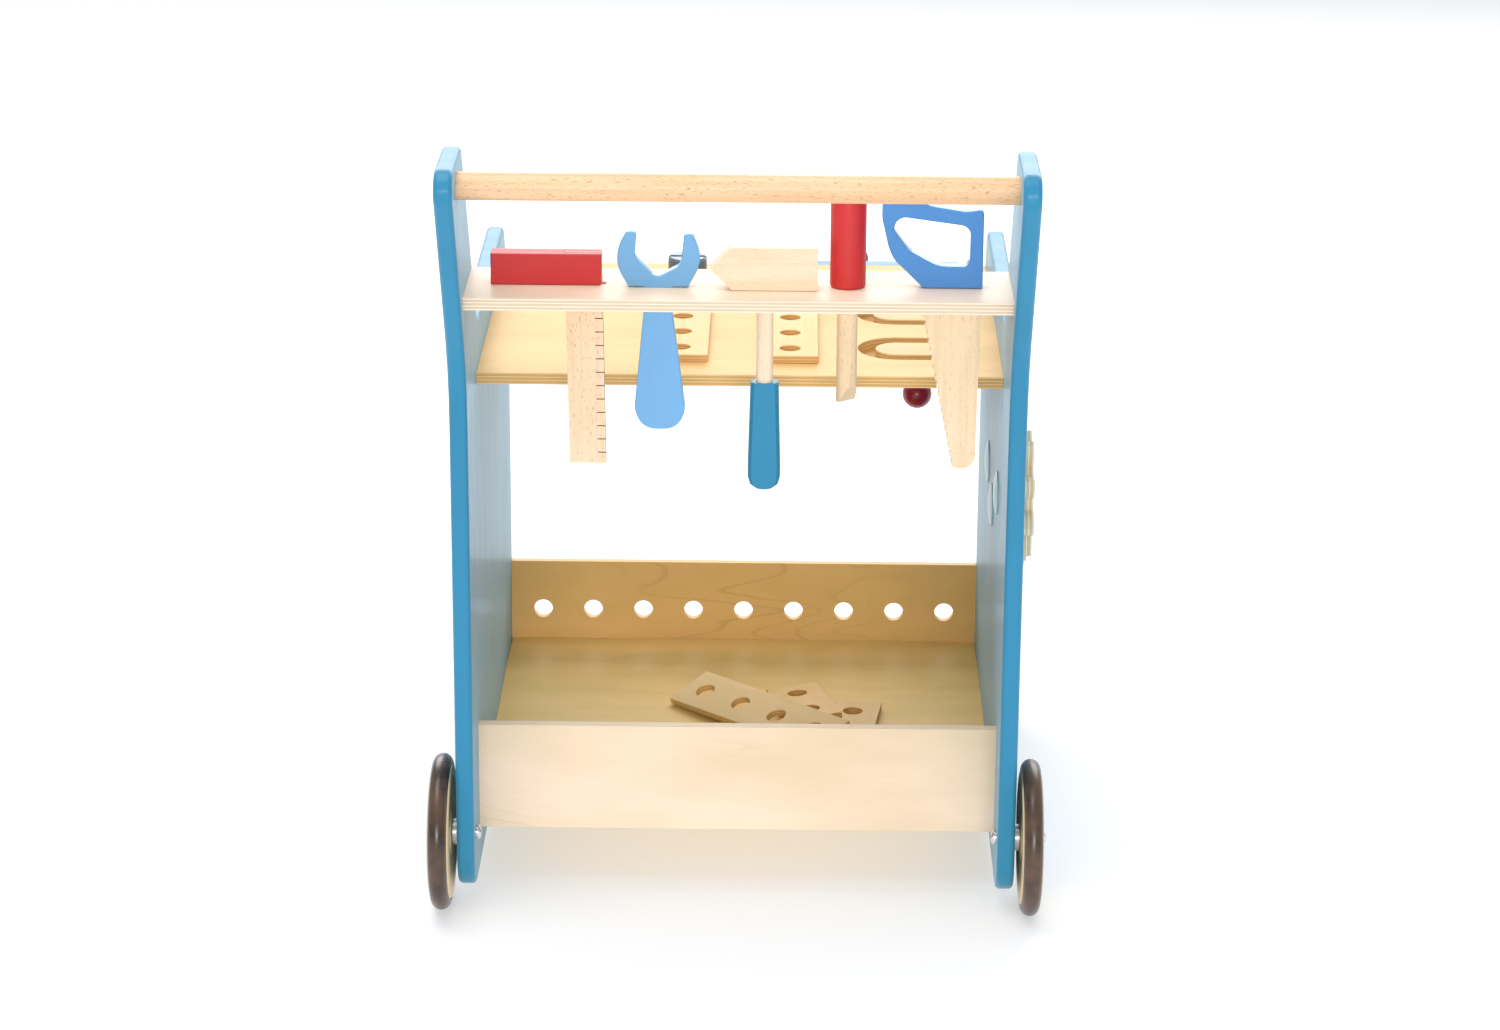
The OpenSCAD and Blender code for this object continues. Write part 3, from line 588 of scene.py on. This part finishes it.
# Wheels and gears
tyre = rubber("tyre_rubber")
for side in ("left", "right"):
    for end in ("near", "far"):
        node = f"wheel_disc_{end}_{side}"
        m = plywood(node + "_ply", low(node), ACROSS, 0.014, 9, DISC, 8.0 + len(node), 0.2, 8)
        dress(node, m, BOARD_EDGE)
        dress(f"tyre_{end}_{side}", tyre, 0)
for node in ("gear_near", "gear_middle", "gear_far"):
    m = plywood(node + "_ply", low(node), ACROSS, 0.010, 7, GEAR, 9.0 + len(node), 0.2, 8)
    dress(node, m, GRIP_EDGE)
# Gear pins: the panels' blue paint, made paler by painted glare on their heads
pin_glare_blue = lacquer("pin_lacquer_painted_glare", PIN_BLUE_GLARE, 0.34, 0.4, haze=0.5)
dress("gear_pins", pin_glare_blue, BLOCK_EDGE)

# Metal
chrome = metal("chrome_steel", CHROME, 0.10, 0.22)
zinc = metal("zinc_steel", ZINC, 0.24, 0.42)
for node in ("axle_bolts", "axle_cap_nuts", "panel_screws"):
    dress(node, chrome, NUT_EDGE)
for node in ("axle_spacers", "axle_washers", "gear_spacers", "gear_retainers", "vise_ring"):
    dress(node, zinc, METAL_EDGE)

# Push rod, with more flecks than the rest
rod = beech("rod_beech", low("push_rod"), FLAT, ROD, 1.0, 0.95, 0.2)
dress("push_rod", rod, TURNED_EDGE)

# Other solid wood: direction of the grain, colour, seed, flecks, gloss, rounding
for node, turn, colour, seed, flecks, gloss, width in (
    ("vise_block", FLAT, VISE, 2.0, 0.6, 0.2, BLOCK_EDGE),
    ("vise_guides", ALONG_Y, VISE, 3.0, 0.6, 0.2, BLOCK_EDGE),
    ("vise_spindle", ALONG_Y, VISE, 4.0, 0.6, 0.2, BLOCK_EDGE),
    ("vise_bar", ALONG_BAR, VISE, 5.0, 0.6, 0.2, TURNED_EDGE),
    ("square_blade", ALONG_Z, SQUARE_BLADE, 6.0, 0.9, 0.05, CUT_EDGE),
    ("hammer_head", FLAT, HAMMER, 7.0, 0.4, 0.05, CUT_EDGE),
    ("hammer_shaft", ALONG_Z, HAMMER, 8.0, 0.35, 0.05, CUT_EDGE),
    ("driver_shank", ALONG_Z, SHANK, 9.0, 0.6, 0.05, CUT_EDGE),
    ("saw_blade", ALONG_Z, SAW_BLADE, 10.0, 0.6, 0.05, CUT_EDGE),
):
    m = beech(node + "_beech", low(node), turn, colour, seed, flecks, gloss)
    dress(node, m, width)

# Painted wood
ball = lacquer("ball_lacquer", BALL_RED, 0.26, 0.3, relief=0.06)
sky = lacquer("light_blue_paint", SKY, 0.34, 0.35, HANDLE_GRAIN, 0.12)
handle_blue = lacquer("saw_handle_paint", HANDLE_BLUE, 0.34, 0.35, HANDLE_GRAIN, 0.12)
red = lacquer("red_paint", RED, 0.42, 0.1, STOCK_GRAIN, 0.12)
slate = lacquer("slate_paint", SLATE, 0.4, 0.3)
for node, mat, slot, width, steps in (
    ("vise_jaw", panel_blue, "blue_lacquer", JAW_EDGE, 3),
    ("vise_balls", ball, "ball_lacquer", BALL_EDGE, 2),
    ("wrench", sky, "light_blue_paint", WRENCH_EDGE, 3),
    ("saw_handle", handle_blue, "light_blue_paint", HANDLE_EDGE, 4),
    ("square_stock", red, "red_paint", PAINT_EDGE, 2),
    ("driver_handle", red, "red_paint", GRIP_EDGE, 2),
    ("work_bolt", slate, "slate_paint", PAINT_EDGE, 2),
    ("hammer_grip", panel_blue, "blue_lacquer", GRIP_EDGE, 2),
):
    dress(node, mat, width, steps)

# The square's ticks are burnt in, and the end of its blade is painted over with the stock
BURNT_SLOT, PAINTED_SLOT = 1, 2
# A tick's walls lie between these depths behind the blade's face, and its bottom below the third
WALL_FROM, WALL_TO, BOTTOM_FROM = 0.0001, 0.0006, 0.0002
# How far above the rack the paint starts
PAINT_ABOVE = 0.002
blade = bpy.data.objects["square_blade_finish"].data
blade.materials.append(lacquer("burnt_ticks", BURNT, 0.6, 0.0))
blade.materials.append(lacquer("red_paint_thin", THIN_RED, 0.45, 0.2, STOCK_GRAIN, 0.12))
face_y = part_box("square_blade")[0].y
rack_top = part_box("square_stock")[0].z
for f in blade.polygons:
    depth = f.center.y - face_y
    wall = abs(f.normal.y) < 0.5 and WALL_FROM < depth < WALL_TO
    bottom = f.normal.y < -0.9 and depth > BOTTOM_FROM
    if f.center.z < rack_top and (wall or bottom):
        f.material_index = BURNT_SLOT
    elif f.center.z > rack_top + PAINT_ABOVE:
        f.material_index = PAINTED_SLOT

# Loose strips, of one thickness: X, Y from the panels' near end and Z of the wood's origin,
# then its turn, colour and seed
STRIP_T = 0.005
for node, x, y, z, turn, colour, seed in (
    ("long_strip_left", -0.0601, 0.109, low("long_strip_left").z, ALONG_Y, TOP, 11.0),
    ("long_strip_right", 0.0144, 0.108, low("long_strip_right").z, ALONG_Y, TOP, 12.0),
    ("tray_strip_low", 0.0837, 0.2452, 0.0568, degrees(0, 0, -97), LOW_STRIP, 13.0),
    ("tray_strip_mid", 0.0370, 0.2720, 0.0584, degrees(4.2, -3.8, -76), MID_STRIP, 14.0),
    ("tray_strip_top", -0.0506, 0.2493, 0.0569, degrees(18.5, -2.2, -46.9), TOP_STRIP, 15.0),
):
    origin = Vector((x, near + y, z))
    m = plywood(node + "_ply", origin, turn, STRIP_T, 5, colour, seed, 0.3, 8, 0.2)
    dress(node, m, BLOCK_EDGE)

# ---------------------------------------------------------------- stage
FLOOR_HALF, FLOOR_GLOW, WORLD_GLOW = 12, 0.41, 0.66


def add_floor():
    g = Graph("floor")
    cloud = g.noise(g.local(), FLOOR_CLOUD, detail=3.0)
    g.shader(
        Base_Color=g.mix(cloud, GROUND, GROUND_PALE), Roughness=0.9, Specular_IOR_Level=0.1,
        Emission_Color=WHITE, Emission_Strength=FLOOR_GLOW,
    )
    bm = bmesh.new()
    bmesh.ops.create_grid(bm, x_segments=1, y_segments=1, size=FLOOR_HALF)
    mesh = bpy.data.meshes.new("floor")
    bm.to_mesh(mesh)
    bm.free()
    mesh.materials.append(g.mat)
    floor = bpy.data.objects.new("floor", mesh)
    bpy.context.scene.collection.objects.link(floor)


def add_light(name, place, aim, size, power):
    """A rectangular light at place, facing aim, with its size in metres and power in watts."""
    data = bpy.data.lights.new(name, "AREA")
    data.shape = "RECTANGLE"
    data.size, data.size_y = size
    data.energy = power
    lamp = bpy.data.objects.new(name, data)
    lamp.location = place
    lamp.rotation_euler = (Vector(aim) - Vector(place)).to_track_quat("-Z", "Y").to_euler()
    bpy.context.scene.collection.objects.link(lamp)


add_floor()
bpy.context.scene.view_settings.view_transform = "Standard"
world = bpy.data.worlds.new("world")
bpy.context.scene.world = world
world.use_nodes = True
background = world.node_tree.nodes["Background"]
background.inputs["Color"].default_value = WHITE
background.inputs["Strength"].default_value = WORLD_GLOW
add_light("front", (0.1, -3.2, 1.0), (0, 0, 0.2), (1.6, 0.8), 34)
add_light("back", (0.1, 2.2, 1.4), (0, 0, 0.1), (3.2, 1.6), 56)
add_light("top", (-0.4, -0.3, 2.4), (0, 0, 0.25), (1.4, 1.4), 22)

# ---------------------------------------------------------------- hand over
bpy.context.view_layer.update()
